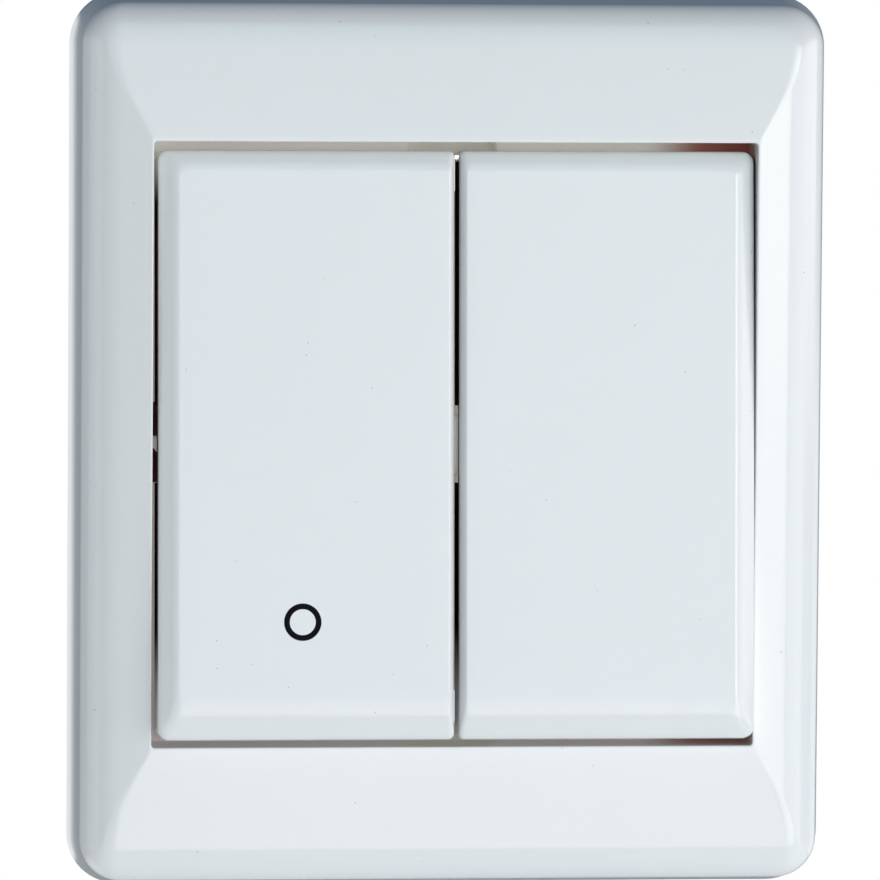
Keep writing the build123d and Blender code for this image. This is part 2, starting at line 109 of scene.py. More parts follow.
def grain(at, scale, detail=2.0, stretch=(1.0, 1.0, 1.0)):
    """Noise from 0 to 1 with a number of features per metre, drawn out along an axis if asked."""
    place = at.node("VectorMath", {"operation": "MULTIPLY"}, {0: at, 1: stretch})
    return at.node("TexNoise", (), {"Vector": place, "Scale": scale, "Detail": detail})


def relief(height, depth, edge_r=0.0, strength=1.0):
    """A normal raised by a height map, with sharp edges rounded to a radius where one is given."""
    sizes = {"Strength": strength, "Distance": depth, "Height": height}
    if edge_r:
        sizes["Normal"] = height.node("Bevel", {"samples": 4}, {"Radius": edge_r})
    return height.node("Bump", (), sizes)


def eased(place, start, end):
    """A share that grows smoothly from 0 to 1 as a coordinate goes from start to end."""
    limits = {"Value": place, "From Min": start, "From Max": end}
    return place.node("MapRange", {"interpolation_type": "SMOOTHSTEP"}, limits)


def with_painted_glow(colour, roughness, normal, glow, strength):
    """A dull surface with painted light: a little light of its own stands in for the daylight scattered
    round it.
    """
    sizes = {
        "Base Color": colour, "Roughness": roughness, "Normal": normal,
        "Emission Color": glow, "Emission Strength": strength,
    }
    return normal.node("BsdfPrincipled", (), sizes)


def plastic(colour, roughness, normal, depth_of_light=0.0, glow=(0.0, 0.0, 0.0, 1.0)):
    """Moulded plastic. Where a depth is given, a little of its light comes back from under the surface. A
    glow, where one is given, is painted light.
    """
    sizes = {
        "Base Color": colour, "Roughness": roughness, "Normal": normal, "IOR": 1.52,
        "Emission Color": glow, "Emission Strength": 1.0,
    }
    if depth_of_light:
        sizes["Subsurface Weight"] = 0.15
        sizes["Subsurface Radius"] = (1.0, 0.8, 0.6)
        sizes["Subsurface Scale"] = depth_of_light
    return normal.node("BsdfPrincipled", (), sizes)


def metal(colour, roughness, normal):
    """Bare metal."""
    sizes = {"Base Color": colour, "Roughness": roughness, "Normal": normal, "Metallic": 1.0}
    return normal.node("BsdfPrincipled", (), sizes)


def material(name, look):
    """The material whose surface look makes from the coordinates on the object."""
    made = bpy.data.materials.new(name)
    made.use_nodes = True
    made.node_tree.nodes.clear()
    start = Socket(made.node_tree)
    surface = look(start.node("TexCoord", (), (), "Object"))
    start.node("OutputMaterial", (), {"Surface": surface})
    return made


def dress(made, slot, *names):
    """Gives CAD nodes a material. The slot argument is not used."""
    for name in names:
        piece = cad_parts[name]
        piece.data.materials.clear()
        piece.data.materials.append(made)

plate_face_y = -0.0011


def zinc_coat(at):
    crystals = at.node("TexVoronoi", {"feature": "F1"}, {"Vector": at, "Scale": 260.0}, "Color")
    facet = crystals.node("SeparateColor", (), {0: crystals})
    clouds = grain(at, 90.0, 4.0)
    rolled = grain(at, 900.0, 3.0, (1.0, 1.0, 0.06))
    tone = facet * 0.5 + clouds * 0.5
    colour = mixed(tone, (0.42, 0.42, 0.40, 1.0), (0.60, 0.60, 0.57, 1.0))
    surface = relief(rolled + facet * 0.3, 0.00002, 0.0002)
    zinc = metal(colour, 0.42 + tone * 0.2, surface)
    cream = mixed(clouds, (0.90, 0.88, 0.80, 1.0), (0.95, 0.93, 0.86, 1.0))
    # Painted light: the lacquer gives off a faint glow of its own colour.
    lacquer = with_painted_glow(cream, 0.45 + clouds * 0.1, surface, cream, 0.04)
    front = at.node("SeparateXYZ", (), {0: at}, 1) < plate_face_y
    return at.node("MixShader", (), {0: front, 1: zinc, 2: lacquer})


dress(material("galvanised_sheet", zinc_coat), "plate_steel", "mounting_plate")

# Housing
# Lid and base hold the mechanism and the terminals. Both are moulded in a light grey plastic whose
# mould was spark eroded, so the faces are evenly matt and the edges a little shinier.


def eroded_grey(at):
    pits = grain(at, 5200.0, 3.0)
    flow = grain(at, 70.0, 3.0)
    colour = mixed(flow, (0.60, 0.60, 0.57, 1.0), (0.68, 0.68, 0.65, 1.0))
    return plastic(colour, 0.42 + pits * 0.2, relief(pits, 0.00003, 0.0003), 0.0006)


dress(material("housing_grey", eroded_grey), "housing_plastic", "base_lid", "switch_base")

# Terminals and contact arms
# Strips stamped from brass sheet, bent up at their far ends. They keep fine rolling lines and darken
# where fingers and warm currents have been.


def rolled_brass(at):
    lines = grain(at, 1400.0, 3.0, (1.0, 1.0, 0.05))
    tarnish = grain(at, 260.0, 4.0)
    shade = tarnish.node(
        "ValToRGB",
        {"stops": ((0.3, (0.42, 0.26, 0.10)), (0.55, (0.66, 0.46, 0.20)), (0.8, (0.76, 0.57, 0.28)))},
        {0: tarnish},
    )
    return metal(shade, 0.2 + tarnish * 0.22, relief(lines, 0.00001, 0.0001))


dress(
    material("rolled_brass", rolled_brass), "contact_brass",
    "contact_arm_left", "contact_arm_right", "common_terminal_left", "common_terminal_right",
    "upper_terminal_left", "upper_terminal_right", "lower_terminal_left", "lower_terminal_right",
)

# Contact buttons
# Silver rivets on the arms and strips, pale and soft, with a brown bloom of sulphide.


def worn_silver(at):
    bloom = grain(at, 1300.0, 4.0)
    colour = mixed(bloom, (0.62, 0.56, 0.48, 1.0), (0.86, 0.85, 0.83, 1.0))
    return metal(colour, 0.38 - bloom * 0.15, relief(bloom, 0.00002, 0.00015))


dress(
    material("worn_silver", worn_silver), "contact_silver",
    "fixed_buttons", "moving_buttons_left", "moving_buttons_right",
)

# Screws and clamps
# Turned and pressed steel, zinc plated, with a faint yellow and blue film from the passivating bath.


def passivated_zinc(at):
    film = grain(at, 420.0, 3.0)
    turned = grain(at, 3000.0, 2.0, (1.0, 0.08, 1.0))
    colour = mixed(film, (0.66, 0.66, 0.56, 1.0), (0.62, 0.66, 0.72, 1.0))
    return metal(colour, 0.22 + turned * 0.15, relief(turned, 0.00001, 0.00012))


dress(
    material("passivated_zinc", passivated_zinc), "screw_steel",
    "assembly_screws", "terminal_screws", "clamp_plates",
)

# Tumblers and plungers
# Slippery off-white acetal, moulded smooth so that legs, trunnions and noses slide in it.


def acetal(at):
    flow = grain(at, 300.0, 3.0)
    colour = mixed(flow, (0.78, 0.77, 0.71, 1.0), (0.84, 0.83, 0.78, 1.0))
    return plastic(colour, 0.3 + flow * 0.1, relief(flow, 0.00003, 0.0002), 0.001)


dress(
    material("acetal", acetal), "tumbler_plastic",
    "tumbler_left", "tumbler_right", "plunger_left", "plunger_right",
)

# Springs
# Drawn spring wire, oiled, dark where the coils pass through shadow.


def drawn_wire(at):
    drawn = grain(at, 2600.0, 3.0)
    colour = mixed(drawn, (0.34, 0.34, 0.35, 1.0), (0.55, 0.55, 0.56, 1.0))
    return metal(colour, 0.25 + drawn * 0.15, relief(drawn, 0.00001, 0.00005))


dress(material("drawn_wire", drawn_wire), "spring_steel", "spring_left", "spring_right")

# Rocker carrier
# The cream moulding on the plate, with the post and ears that the rockers' pins run in. It shows only
# in the gaps, as a warm light line. Its faint glow is painted light, in place of the daylight that the
# white shells let through, and its front carries painted shadow and shade where the gaps are dark.
# Where painted shade lies on the carrier's front and round the left ear's tip
carrier_face_y = -0.0029
strips_from_z = 0.026
ear_from_x = -0.0325
ear_half_z = 0.0045
ear_tip_half_z = 0.0007


def satin_cream(at):
    """Cream with a painted glow, and painted shade: brown at the front's right corners, grey at its foot,
    dark round the ear's tip.
    """
    pits = grain(at, 3600.0, 3.0)
    flow = grain(at, 90.0, 2.0)
    x, y, z = (at.node("SeparateXYZ", (), {0: at}, k) for k in range(3))
    height = z.math("ABSOLUTE", z)
    cream = mixed(flow, (0.90, 0.88, 0.80, 1.0), (0.95, 0.93, 0.86, 1.0))
    face = y < carrier_face_y
    front = face * (height > strips_from_z)
    # Painted shadow: the front's right corners turn brown, where the frame's right wall shades the gap.
    brown = mixed(eased(x, 0.021, 0.029) * front, cream, (0.36, 0.10, 0.06, 1.0))
    # Painted shade: the front's foot turns grey.
    grey = mixed(eased(z, -0.024, -0.031) * front, brown, (0.97, 0.90, 1.0, 1.0), "MULTIPLY")
    # Painted shade: dark round the ear's tip in the left gap.
    ear = (x < ear_from_x) * face * (height > ear_tip_half_z) * (height < ear_half_z)
    colour = mixed(ear, grey, (0.06, 0.012, 0.016, 1.0))
    surface = relief(pits, 0.00003, 0.0003)
    # Painted light: the carrier gives off a faint glow of its own colour.
    return with_painted_glow(colour, 0.38 + pits * 0.18, surface, colour, 0.12)


dress(material("satin_cream", satin_cream), "carrier_plastic", "rocker_carrier")

# Rockers
# Two mirrored shells of glossy white plastic. Their bevels are flat for half their width and then
# blend into the face; inside are ribs, two lugs with pins, and the leg that turns the tumbler.
# Sizes are in millimetres here and in the cover frame, and become metres as each mesh is made.
rocker_near = 0.25
rocker_far = 33.35
rocker_half = 32.35
rocker_wall = 1.6
hollow_roof = 3.5
face_rise = 5.5
bevel_depth = 1.1
lip = -0.6
notch_half = 4.3
notch_roof = 3.0
pivot_height = 6.0
rest_tilt = -3.5
lean = 0.14
lean_run = 24.0
top_rise = 0.35
bottom_rise = 0.65
outer_corner_r = 1.3
inner_corner_r = 0.6
hollow_corner_r = 0.3
foot_edge = 0.08
# Width of each bevel, the flat share of it, and the hyperbola that rounds its outer edge
inner_bevel = (0.8, 0.5, 0.22)
outer_bevel = (2.4, 0.5, 0.4)
bottom_bevel = (4.87, 0.3, 1.2)
top_bevel = (2.35, 0.15, 0.5)
rib_half_t = 0.5
rib_reach = 31.0
rib_rim = 2.3
cross_rib_rim = 1.2
lug_t = 2.0
lug_half = 3.0
lug_rim = -2.0
lug_corner_r = 0.4
pin_r = 1.2
leg_near, leg_far = 6.0, 10.0
leg_half_t = 1.1
leg_tip = -6.0
leg_tip_r = 1.5
tip_edge = 0.15
pin_edge = 0.2


def outline(left, right, low, high, radii, along_v=(), along_x=(), steps=8):
    """Closed lines round rectangles with rounded corners, one a row. A corner is a quarter circle about
    a centre one radius in from its two sides, and the straight runs also get points at set places."""
    left, right, low, high = (np.atleast_1d(side)[:, None] for side in (left, right, low, high))
    up, over = (np.asarray(places, float)[None, :] + 0 * left for places in (along_v, along_x))
    parts = []
    corners = (
        (right, low, -1, 1, -1, right, up),
        (right, high, -1, -1, 0, high, -np.sort(-over)),
        (left, high, 1, -1, 1, left, -np.sort(-up)),
        (left, low, 1, 1, 2, low, over),
    )
    for k, (x, v, in_x, in_v, quarter, side, places) in enumerate(corners):
        r = np.atleast_1d(radii[k])[:, None]
        angle = (quarter + np.linspace(0, 1, steps + 1)[None, :]) * pi / 2
        arc = np.stack([x + r * (in_x + np.cos(angle)), v + r * (in_v + np.sin(angle))], -1)
        fixed = side + 0 * places
        run = (fixed, places) if k % 2 == 0 else (places, fixed)
        parts += [arc, np.stack(run, -1)]
    return np.concatenate(parts, axis=1)


def standing(lines, heights, rise=0.0, tilt=0.0):
    """Lifts flat lines to their heights above a plane parallel to the wall, which lies rise in front of
    it and is turned by tilt about the level axis through its middle."""
    x, v = lines[..., 0], lines[..., 1]
    w = heights + 0 * x
    turn = radians(tilt)
    y = -rise - v * sin(turn) - w * cos(turn)
    return np.stack([x, y, v * cos(turn) - w * sin(turn)], -1)


def skin(rows, ring=False):
    """The vertices and faces of rows of points that run round: the last row joins the first, or each
    end is closed by one face."""
    count, across = rows.shape[:2]
    index = np.arange(count * across).reshape(count, across)
    here = index if ring else index[:-1]
    beyond = np.roll(index, -1, 0) if ring else index[1:]
    corners = (here, np.roll(here, -1, 1), np.roll(beyond, -1, 1), beyond)
    faces = np.stack(corners, -1).reshape(-1, 4).tolist()
    if not ring:
        faces += [index[0, ::-1].tolist(), index[-1].tolist()]
    return rows.reshape(-1, 3), faces


def moulded(name, skins, made, slot, body, *nodes):
    """One piece from closed skins in millimetres, smooth but for its sharp edges."""
    points = np.concatenate([vertices for vertices, _ in skins]) * 0.001
    starts = np.cumsum([0] + [len(vertices) for vertices, _ in skins])
    faces = [[i + s for i in face] for s, (_, part) in zip(starts, skins) for face in part]
    mesh = bpy.data.meshes.new(name)
    mesh.from_pydata(points.tolist(), [], faces)
    work = bmesh.new()
    work.from_mesh(mesh)
    bmesh.ops.recalc_face_normals(work, faces=work.faces)
    work.to_mesh(mesh)
    work.free()
    mesh.shade_smooth()
    mesh.set_sharp_from_angle(angle=radians(38))
    mesh.materials.append(made)
    piece = bpy.data.objects.new(name, mesh)
    bpy.context.scene.collection.objects.link(piece)
    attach(piece, body)
    if nodes:
        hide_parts(*nodes)


def block(x0, x1, v0, v1, w0, w1, corner=0.2, edge=0.1):
    """A rib or lug: rectangles stacked up with their first and last ones drawn in by the edge."""
    inset = np.array([edge, 0.0, 0.0, edge])
    corners = [np.full(4, corner)] * 4
    lines = outline(x0 + inset, x1 - inset, v0 + inset, v1 - inset, corners, steps=3)
    return lines, np.array([w0, w0 + edge, w1 - edge, w1])[:, None]


def turned(stations, radii, v, w, steps=32):
    """A round bar along x: circles of given radii at given stations about the line through v, w."""
    angle = np.linspace(0, 2 * pi, steps, endpoint=False)[None, :]
    x = np.asarray(stations, float)[:, None] + 0 * angle
    r = np.asarray(radii, float)[:, None]
    return np.stack([x, v + r * np.cos(angle)], -1), w + r * np.sin(angle)


def bevel_inset(share, width, facet, edge):
    """How far a bevel has drawn in at a share of its depth: a straight facet that turns, as a parabola,
    into the face. A hyperbola rounds its outer edge."""
    slope = 2 / (1 + facet)
    blend = 1 - np.sqrt(np.maximum((1 - share) * 2 * (1 - facet) / slope, 0))
    inwards = width * np.where(share < slope * facet, share / slope, blend)
    return (inwards + np.sqrt(inwards**2 + edge**2)) / 2


def rocker_shell(side):
    """The rocker's walls, bevels and face. The lip rises over the notches for post and ear, so the
    wall's rows are spread between the lip and a level height above it."""
    up = np.array([-25, -18, -12, -6, -notch_half - 0.01, -notch_half, notch_half, notch_half + 0.01])
    up = np.concatenate([up, [6, 12, 18, 25]])
    over = np.linspace(4, 29, 8)
    hollow = np.full(5, rocker_wall)
    sides = (rocker_near + hollow, rocker_far - hollow, hollow - rocker_half, rocker_half - hollow)
    inner = outline(*sides, [np.full(5, hollow_corner_r)] * 4, up, over)
    edge = np.array([foot_edge])
    foot_r = [np.array([r]) for r in (outer_corner_r, outer_corner_r, inner_corner_r, inner_corner_r)]
    foot = outline(
        rocker_near + edge, rocker_far - edge, edge - rocker_half, rocker_half - edge,
        foot_r, up, over,
    )
    wall_shares = np.array([-4.4, -3, -2, -1.2])
    blend_shares = 1 - (1 - np.linspace(0, 1, 22)) ** 2
    share = np.concatenate([wall_shares, np.linspace(-0.9, -0.06, 9), blend_shares])
    inner_side = bevel_inset(share, *inner_bevel)
    outer_side = bevel_inset(share, *outer_bevel)
    bottom = bevel_inset(share, *bottom_bevel) - bottom_rise
    top = bevel_inset(share, *top_bevel) - top_rise
    sides = (rocker_near + inner_side, rocker_far - outer_side, bottom - rocker_half,
             rocker_half - top)
    outer_r = outer_corner_r - 0.3 * share.clip(0)
    inner_r = inner_corner_r - 0.1 * share.clip(0)
    front = outline(*sides, [outer_r, outer_r, inner_r, inner_r], up, over)
    middle = np.array([(rocker_near + rocker_far) / 2, -1.0])
    closing = np.array([0.2, 0.5, 0.8])[:, None, None]
    face = front[-1:] + (middle - front[-1:]) * closing
    lines = np.concatenate([inner, foot, front, face])
    x, v = lines[..., 0], lines[..., 1]
    on_side = (np.abs(v) < notch_half + 0.005) & ((x < 3) | (x > 30))
    local_lip = np.where(on_side[4], notch_roof, lip)[None, :]
    inner_share = np.array([1.0, 0.75, 0.5, 0.25, 0.02])[:, None]
    level = face_rise - bevel_depth * (1 - share)[:, None]
    wall_top = level[len(wall_shares)]
    wall_share = (level[:len(wall_shares)] - level[0]) / (wall_top - level[0])
    wall_level = local_lip + foot_edge + wall_share * (wall_top - local_lip - foot_edge)
    heights = np.concatenate([
        local_lip + inner_share * (hollow_roof - local_lip),
        local_lip,
        wall_level,
        level[len(wall_shares):] + 0 * local_lip,
        np.full((3, 1), face_rise) + 0 * local_lip,
    ])
    outwards = np.clip((x - 32.0) / 1.0, 0, 1) * (side > 0)
    lines = np.stack([x + lean * outwards * np.clip((rocker_half - v) / lean_run, 0, 1), v], -1)
    lines = lines * np.array([side, 1])
    return skin(standing(lines, heights, pivot_height, rest_tilt))


def rocker_inside(side):
    """Ribs, lugs, pins and leg, each a closed block that reaches into its neighbour."""
    roof = hollow_roof + 0.5
    width = rocker_far - rocker_near
    solids = []
    for rib_x in (rocker_near + width / 3, rocker_near + 2 * width / 3):
        solids.append(
            block(rib_x - rib_half_t, rib_x + rib_half_t, -rib_reach, rib_reach, rib_rim, roof)
        )
    lugs_near, lugs_far = 2.45, 31.15
    solids.append(block(lugs_near, lugs_far, -rib_half_t, rib_half_t, cross_rib_rim, roof))
    for near, far in ((lugs_near, lugs_near + lug_t), (lugs_far - lug_t, lugs_far)):
        solids.append(block(near, far, -lug_half, lug_half, lug_rim, roof, lug_corner_r))
    solids.append(block(leg_near, leg_far, -leg_half_t, leg_half_t, leg_tip, roof))
    stations = [leg_near, leg_near + tip_edge, leg_far - tip_edge, leg_far]
    radii = [leg_tip_r - tip_edge, leg_tip_r, leg_tip_r, leg_tip_r - tip_edge]
    solids.append(turned(stations, radii, 0, leg_tip))
    solids.append(turned([0.25, 0.45, 3.5], [pin_r - pin_edge, pin_r, pin_r], 0, 0))
    solids.append(turned([30.1, 32.7, 32.9], [pin_r, pin_r, pin_r - pin_edge], 0, 0))
    parts = []
    for lines, heights in solids:
        flipped = lines * np.array([side, 1])
        parts.append(skin(standing(flipped, heights, pivot_height, rest_tilt)))
    return parts


def gloss_white(at, glow=(0.0, 0.0, 0.0, 1.0)):
    """White plastic from a polished mould: long faint waves, a fine grain, and a few specks of dirt."""
    waves = grain(at, 130.0, 2.0)
    fine = grain(at, 2600.0, 2.0)
    clouds = grain(at, 35.0, 3.0)
    cells = {"Vector": at, "Scale": 520.0}
    near = at.node("TexVoronoi", {"feature": "F1"}, cells, "Distance")
    kind = at.node("TexVoronoi", {"feature": "F1"}, cells, "Color")
    chosen = kind.node("SeparateColor", (), {0: kind})
    speck = (near < 0.045) * (chosen < 0.3)
    tone = mixed(clouds, (0.835, 0.835, 0.815, 1.0), (0.865, 0.865, 0.845, 1.0))
    colour = mixed(speck * 0.55, tone, (0.28, 0.25, 0.22, 1.0))
    roughness = 0.13 + fine * 0.05 + speck * 0.3
    height = waves * 0.85 + fine * 0.15 + speck * 0.6
    return plastic(colour, roughness, relief(height, 0.00003, strength=0.6), glow=glow)


# Where the rockers' painted gap shade lies, and how fast it fades in behind the bevels
inner_wall_x = 0.00028
outer_wall_x = 0.03318
bevels_foot_y = 0.01033
gap_shade_fade = 1800


def gap_shaded_white(at):
    """The rockers' plastic, with painted shade, dark and reddish, on the side walls behind the bevels. It
    thins out at the ends, and on the right it lies only near the top."""
    x, y, z = (at.node("SeparateXYZ", (), {0: at}, k) for k in range(3))
    middle = (x.math("ABSOLUTE", x) < inner_wall_x) * eased(z, 0.0325, 0.0315)
    left = (x < -outer_wall_x) * eased(z, 0.0315, 0.0265)
    right = (x > outer_wall_x) * eased(z, 0.006, 0.015)
    behind = (y - z * sin(radians(-rest_tilt)) + bevels_foot_y) * gap_shade_fade
    deep = behind.math("MULTIPLY", behind, 1.0, clamp=True) * eased(z, -0.030, -0.020)
    # Painted shade: a dark reddish diffuse layer on the walls that face the gaps.
    gap_shade_mottle = grain(at, 900.0, 3.0)
    shade = mixed(gap_shade_mottle, (0.03, 0.003, 0.014, 1.0), (0.10, 0.03, 0.036, 1.0))
    painted_gap_shade = at.node("BsdfDiffuse", (), {"Color": shade, "Roughness": 0.6})
    return at.node("MixShader", (), {0: (middle + left + right) * deep, 1: gloss_white(at), 2: painted_gap_shade})


# The rockers' plastic, with painted shade on the walls in the gaps
gap_shaded_plastic = material("gap_shaded_white", gap_shaded_white)
for side, name in ((-1, "rocker_left"), (1, "rocker_right")):
    skins = [rocker_shell(side), *rocker_inside(side)]
    moulded(name + "_moulding", skins, gap_shaded_plastic, "gloss_white", name, name)

# Ring mark
# A small black ring, pad printed low on the left rocker in a film of ink a hundredth of a
# millimetre or two thick.
ring_x = -17.3
ring_v = -19.7
ring_inner_r = 1.44
ring_outer_r = 2.08
ink_film = 0.012


def printed_ring():
    """A flat closed band about a centre: four circles, two on the face and two on top of the film."""
    angle = np.linspace(0, 2 * pi, 96, endpoint=False)[None, :]
    r = np.array([ring_inner_r, ring_inner_r + 0.02, ring_outer_r - 0.02, ring_outer_r])[:, None]
    r = np.concatenate([r, r[::-1]])
    lines = np.stack([ring_x + r * np.cos(angle), ring_v + r * np.sin(angle)], -1)
    film = np.array([0.0, 1.0, 1.0, 0.0, -0.5, -0.5, -0.5, -0.5])[:, None] * ink_film
    return skin(standing(lines, face_rise + film, pivot_height, rest_tilt), ring=True)


def printing_ink(at):
    mottle = grain(at, 5000.0, 2.0)
    colour = mixed(mottle, (0.002, 0.002, 0.004, 1.0), (0.006, 0.005, 0.010, 1.0))
    surface = relief(mottle, 0.000005)
    sizes = {
        "Base Color": colour, "Roughness": 0.55 + mottle * 0.2, "Normal": surface,
        "Specular IOR Level": 0.08,
    }
    return surface.node("BsdfPrincipled", (), sizes)


ink = material("printing_ink", printing_ink)
moulded("ring_mark", [printed_ring()], ink, "mark_black", "rocker_left")

# Cover frame
# One glossy white moulding: drafted walls, a rounded edge, four flat slopes that meet in mitre lines,
# and a skirt round the opening. Behind it ribs stiffen the slopes and four hooks clip on the plate.
frame_low, frame_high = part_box("cover_frame")
shift_x = (frame_low.x + frame_high.x) * 500
shift_z = (frame_low.z + frame_high.z) * 500
frame_half_w = (frame_high.x - frame_low.x) * 500
frame_half_h = (frame_high.z - frame_low.z) * 500
frame_crest = 10.5
frame_draft = 1.2
frame_shoulder = 7.4
frame_wall = 2.0
rim_corner_r = 5.7
rim_edge_r = 0.35
round_base = 6.2
side_slope, side_round_h = 0.158, 3.88
end_slope, end_round_h = 0.0895, 3.33
opening_half = 33.7
opening_corner_r = 0.4
crest_edge_r = 0.12
skirt_half = 35.1
front_rise = frame_crest - round_base
base_draft = frame_draft * round_base / frame_shoulder


def strip_profile(half, slope, round_h):
    """A strip's ellipse and where it meets the flat slope: its half width follows from the line being
    its tangent, which is when (run of the line beyond the centre) squared is the sum of the squares of
    the ellipse's half width and of its height over the slope."""
    edge = half - base_draft
    run = opening_half + front_rise / slope - edge
    round_w = ((round_h / slope) ** 2 - run**2) / (2 * run)
    return edge, round_w, np.arctan(round_h / (round_w * slope))


def front_reach(rise, half, slope, round_h):
    """How far a strip's front reaches at a height above the rounding's base: on its quarter ellipse
    below the tangent point, and on its flat slope above it."""
    edge, round_w, tangent = strip_profile(half, slope, round_h)
    share = np.minimum(rise / round_h, 1.0)
    curved = edge - round_w * (1 - np.sqrt(1 - share**2))
    return np.where(share < np.sin(tangent), curved, opening_half + (front_rise - rise) / slope)


def front_rises():
    """Heights that are even steps round both ellipses, and even steps up the flats."""
    starts = []
    for half, slope, round_h in ((frame_half_w, side_slope, side_round_h),
                                 (frame_half_h, end_slope, end_round_h)):
        _, round_w, tangent = strip_profile(half, slope, round_h)
        first = np.arctan(round_h / round_w * frame_draft / frame_shoulder)
        starts.append(round_h * np.sin(np.linspace(first, tangent, 26)))
    rises = np.concatenate([*starts, np.linspace(starts[0][-1], front_rise - 0.05, 5)[1:]])
    return np.unique(np.round(rises[rises > starts[0][0]], 3))


def front_rows(rises, inset):
    """Half width, half height, corner radius and height of the front's level lines. The corners grow
    from the opening's to the rounding's base with the cube of the way out."""
    half_w = front_reach(rises, frame_half_w, side_slope, side_round_h)
    half_h = front_reach(rises, frame_half_h, end_slope, end_round_h)
    share = (half_w - opening_half) / (frame_half_w - base_draft - opening_half)
    base_r = rim_corner_r - base_draft - inset
    corner_r = opening_corner_r + (base_r - opening_corner_r) * share**3
    return half_w - inset * share, half_h - inset * share, corner_r, round_base - inset + rises


def frame_shell():
    """The moulding's wall as a closed band of level lines: rim, outside, front, opening, skirt, hollow."""
    quarter = np.linspace(0, pi / 2, 6)
    draw_in = rim_edge_r * (1 - np.sin(quarter))
    rim = (frame_half_w - draw_in, frame_half_h - draw_in, rim_corner_r - draw_in,
           rim_edge_r * (1 - np.cos(quarter)))
    height = np.linspace(0, round_base, 6)[1:]
    in_by = frame_draft * height / frame_shoulder
    drafted = (frame_half_w - in_by, frame_half_h - in_by, rim_corner_r - in_by, height)
    front = front_rows(front_rises(), 0.0)
    top = front_rows(np.array([front_rise - side_slope * crest_edge_r]), 0.0)
    roll = np.linspace(0, pi / 2, 7)
    crest = (
        opening_half + (top[0] - opening_half) * (1 - np.sin(roll)),
        opening_half + (top[1] - opening_half) * (1 - np.sin(roll)),
        opening_corner_r + 0 * roll, top[3] - crest_edge_r * (1 - np.cos(roll)),
    )
    depth = np.array([9.9, 8.0, 6.0, 4.5, 3.1])
    opening = (opening_half + 0 * depth, opening_half + 0 * depth, opening_corner_r + 0 * depth, depth)
    out = np.array([0.1, 1.3, 1.4, 1.4])
    foot = (opening_half + out, opening_half + out, opening_corner_r + out * 0.3,
            np.array([3.0, 3.0, 3.1, 5.5]))
    under = front_rows(front_rise * np.sin(np.linspace(pi / 2, 0, 26)), frame_wall)
    ahead = under[0] > skirt_half + 0.05
    under = tuple(values[ahead] for values in under)
    join = (np.array([skirt_half]), np.array([skirt_half]), under[2][:1], under[3][:1])
    inner = frame_half_w - frame_wall, frame_half_h - frame_wall
    wall = np.array([0.75, 0.5, 0.25, 0.0])
    back = (inner[0] - frame_draft * wall, inner[1] - frame_draft * wall,
            rim_corner_r - frame_wall - frame_draft * wall, 5.0 * wall)
    rows = [np.concatenate(column) for column in
            zip(rim, drafted, front, crest, opening, foot, join, under, back)]
    half_w, half_h, corner_r, height = rows
    places = np.linspace(-32, 32, 9)
    lines = outline(-half_w, half_w, -half_h, half_h, [corner_r] * 4, places, places, steps=14)
    return skin(standing(lines + np.array([shift_x, shift_z]), height[:, None]), ring=True)


def prism(profile, near, far, turn):
    """A rib or hook: a profile of distances from the opening's middle and heights, drawn from near to
    far along the strip, and turned to one of the four strips."""
    out, height = np.array(profile, float).T
    along = np.array([near, far], float)[:, None]
    lines = np.stack([along + 0 * out, out + 0 * along], -1)
    quarter = np.array([[cos(turn), sin(turn)], [-sin(turn), cos(turn)]])
    lines = lines @ quarter + np.array([shift_x, shift_z])
    return skin(standing(lines, height[None, :] + 0 * along))


side_rib = ((35.0, 3.4), (40.6, 3.4), (40.4, 6.3), (38.7, 7.9), (35.0, 9.0))
end_rib = ((35.0, 3.4), (48.1, 3.4), (47.9, 6.3), (45.6, 7.9), (35.0, 9.3))
hook = ((35.5, 0.55), (35.9, 0.2), (37.6, 0.2), (37.6, 8.9), (36.4, 8.9), (36.4, 1.1), (35.5, 1.1))
# Where the frame's line of painted light lies
painted_line_from_x, painted_line_full_x = -0.0414, -0.0421
painted_line_from_y, painted_line_full_y = -0.0048, -0.0005


def frame_white(at):
    """The same plastic, with a bright line of painted light low on its left side, for the white wall
    shining into it.
    """
    x, y = (at.node("SeparateXYZ", (), {0: at}, k) for k in range(2))
    # Painted light: a glow low on the left side wall.
    line = eased(x, painted_line_from_x, painted_line_full_x) * eased(y, painted_line_from_y, painted_line_full_y)
    foot = line * (y < -0.0001)
    return gloss_white(at, mixed(foot, (0.0, 0.0, 0.0, 1.0), (0.49, 0.50, 0.49, 1.0)))


white = material("frame_white", frame_white)
skins = [frame_shell()]
for turn, rib in ((0, end_rib), (pi / 2, side_rib), (pi, end_rib), (-pi / 2, side_rib)):
    skins += [prism(rib, place - 0.5, place + 0.5, turn) for place in (-28.8, 0.0, 28.8)]
    if rib is end_rib:
        skins += [prism(hook, place - 5.0, place + 5.0, turn) for place in (-18.0, 18.0)]
moulded("cover_frame_moulding", skins, white, "gloss_white", "insert", "cover_frame")

# Stage
# A pale floor well below the part, which the camera sees evenly bright, and soft boxes: a window to
# the right, fills, dull rims and a lamp behind.


def plain_floor(at):
    flow = grain(at, 3.0, 2.0)
    colour = mixed(flow, (0.80, 0.80, 0.80, 1.0), (0.84, 0.84, 0.84, 1.0))
    dull = at.node("BsdfPrincipled", (), {"Base Color": colour, "Roughness": 0.8})
    seen = at.node("Emission", (), {"Color": (0.84, 0.84, 0.84, 1.0), "Strength": 1.0})
    straight = at.node("LightPath", (), (), "Is Camera Ray")
    return at.node("MixShader", (), {0: straight, 1: dull, 2: seen})


